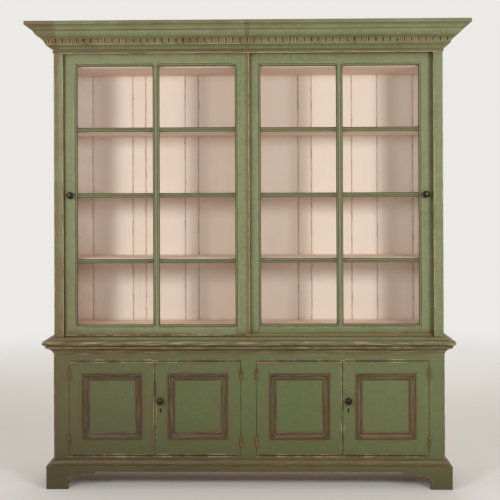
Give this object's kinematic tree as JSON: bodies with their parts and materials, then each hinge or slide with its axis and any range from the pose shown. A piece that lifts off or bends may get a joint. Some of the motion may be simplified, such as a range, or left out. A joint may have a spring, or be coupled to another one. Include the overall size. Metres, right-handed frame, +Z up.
{
  "type": "glazed kitchen cabinet",
  "caption": "Painted pine kitchen cabinet: a glazed upper case with sliding barred doors under a dentil cornice, on a low base with hinged panelled doors and bracket feet.",
  "frame": {"origin": "on the floor, at the middle of the whole outline", "axes": "+Z up, the front faces -Y, and +X runs to the right as the front is looked at"},
  "size_m": [2.158, 0.519, 2.285],
  "materials": {
    "green_paint": "worn satin paint over pine, with brown glaze in the corners",
    "cream_paint": "flat old paint, stained brown near the boards",
    "bare_pine": "unfinished aged pine",
    "window_glass": "clear drawn sheet, slightly wavy",
    "putty": "hard painted putty",
    "dark_brass": "dark patinated brass, rubbed brighter on the crown",
    "old_iron": "blackened iron",
    "painted_iron": "iron knuckles painted over with the case, leaves left dark"
  },
  "bodies": {
    "case": {"base_back_planks": "bare_pine", "base_face_frame": "green_paint", "base_floor": "bare_pine", "base_shelves": "bare_pine", "base_top": "green_paint", "base_uprights": "green_paint", "bracket_skirt": "green_paint", "cornice_bed_moulding": "green_paint", "cornice_crown": "green_paint", "dentil_course": "green_paint", "door_head": "cream_paint", "door_runners": "bare_pine", "foot_blocks": "bare_pine", "hinge_fixed_leaves": "painted_iron", "plinth_moulding": "green_paint", "seat_moulding": "green_paint", "shelf_bearers": "cream_paint", "upper_back_planks": "cream_paint", "upper_face_frame": "green_paint", "upper_floor_and_ceiling": "cream_paint", "upper_shelves": "cream_paint", "upper_sill": "cream_paint", "upper_uprights": "green_paint", "waist_moulding": "green_paint"},
    "glass_door_left": {"glass_door_left_frame": "green_paint", "glass_door_left_glazing_bars": "green_paint", "glass_door_left_knob": "dark_brass", "glass_door_left_panes": "window_glass", "glass_door_left_putty": "putty"},
    "glass_door_right": {"glass_door_right_frame": "green_paint", "glass_door_right_glazing_bars": "green_paint", "glass_door_right_knob": "dark_brass", "glass_door_right_panes": "window_glass", "glass_door_right_putty": "putty"},
    "base_door_1": {"base_door_1_frame": "green_paint", "base_door_1_panel": "green_paint", "base_door_1_panel_moulding": "green_paint", "base_door_1_hinge_leaves": "painted_iron", "base_door_1_bolt_plate": "old_iron"},
    "base_door_1_edge_bolt": {"base_door_1_bolt": "old_iron"},
    "base_door_2": {"base_door_2_frame": "green_paint", "base_door_2_panel": "green_paint", "base_door_2_panel_moulding": "green_paint", "base_door_2_hinge_leaves": "painted_iron", "base_door_2_lock_case": "old_iron", "base_door_2_knob": "dark_brass"},
    "base_door_2_bolt_bar": {"base_door_2_lock_bolt": "old_iron"},
    "base_door_3": {"base_door_3_frame": "green_paint", "base_door_3_panel": "green_paint", "base_door_3_panel_moulding": "green_paint", "base_door_3_hinge_leaves": "painted_iron", "base_door_3_bolt_plate": "old_iron"},
    "base_door_3_edge_bolt": {"base_door_3_bolt": "old_iron"},
    "base_door_4": {"base_door_4_frame": "green_paint", "base_door_4_panel": "green_paint", "base_door_4_panel_moulding": "green_paint", "base_door_4_hinge_leaves": "painted_iron", "base_door_4_lock_case": "old_iron", "base_door_4_knob": "dark_brass"},
    "base_door_4_bolt_bar": {"base_door_4_lock_bolt": "old_iron"}
  },
  "joints": [
    {"name": "left_glass_door_slide", "type": "slide", "parent": "case", "child": "glass_door_left", "axis": [1, 0, 0], "range_m": [0, 0.852]},
    {"name": "right_glass_door_slide", "type": "slide", "parent": "case", "child": "glass_door_right", "axis": [1, 0, 0], "range_m": [-0.852, 0]},
    {"name": "base_door_1_hinge", "type": "hinge", "parent": "case", "child": "base_door_1", "pos_m": [-0.88625, -0.1447, 0.39], "axis": [0, 0, 1], "range_deg": [-105, 0]},
    {"name": "base_door_2_hinge", "type": "hinge", "parent": "case", "child": "base_door_2", "pos_m": [-0.03875, -0.1447, 0.39], "axis": [0, 0, 1], "range_deg": [0, 105]},
    {"name": "base_door_3_hinge", "type": "hinge", "parent": "case", "child": "base_door_3", "pos_m": [0.03875, -0.1447, 0.39], "axis": [0, 0, 1], "range_deg": [-105, 0]},
    {"name": "base_door_4_hinge", "type": "hinge", "parent": "case", "child": "base_door_4", "pos_m": [0.88625, -0.1447, 0.39], "axis": [0, 0, 1], "range_deg": [0, 105]},
    {"name": "base_door_1_edge_bolt_slide", "type": "slide", "parent": "base_door_1", "child": "base_door_1_edge_bolt", "axis": [0, 0, 1], "range_m": [0, 0.012]},
    {"name": "base_door_3_edge_bolt_slide", "type": "slide", "parent": "base_door_3", "child": "base_door_3_edge_bolt", "axis": [0, 0, 1], "range_m": [0, 0.012]},
    {"name": "base_door_2_lock_slide", "type": "slide", "parent": "base_door_2", "child": "base_door_2_bolt_bar", "axis": [-1, 0, 0], "range_m": [0, 0.009]},
    {"name": "base_door_4_lock_slide", "type": "slide", "parent": "base_door_4", "child": "base_door_4_bolt_bar", "axis": [-1, 0, 0], "range_m": [0, 0.009]}
  ]
}
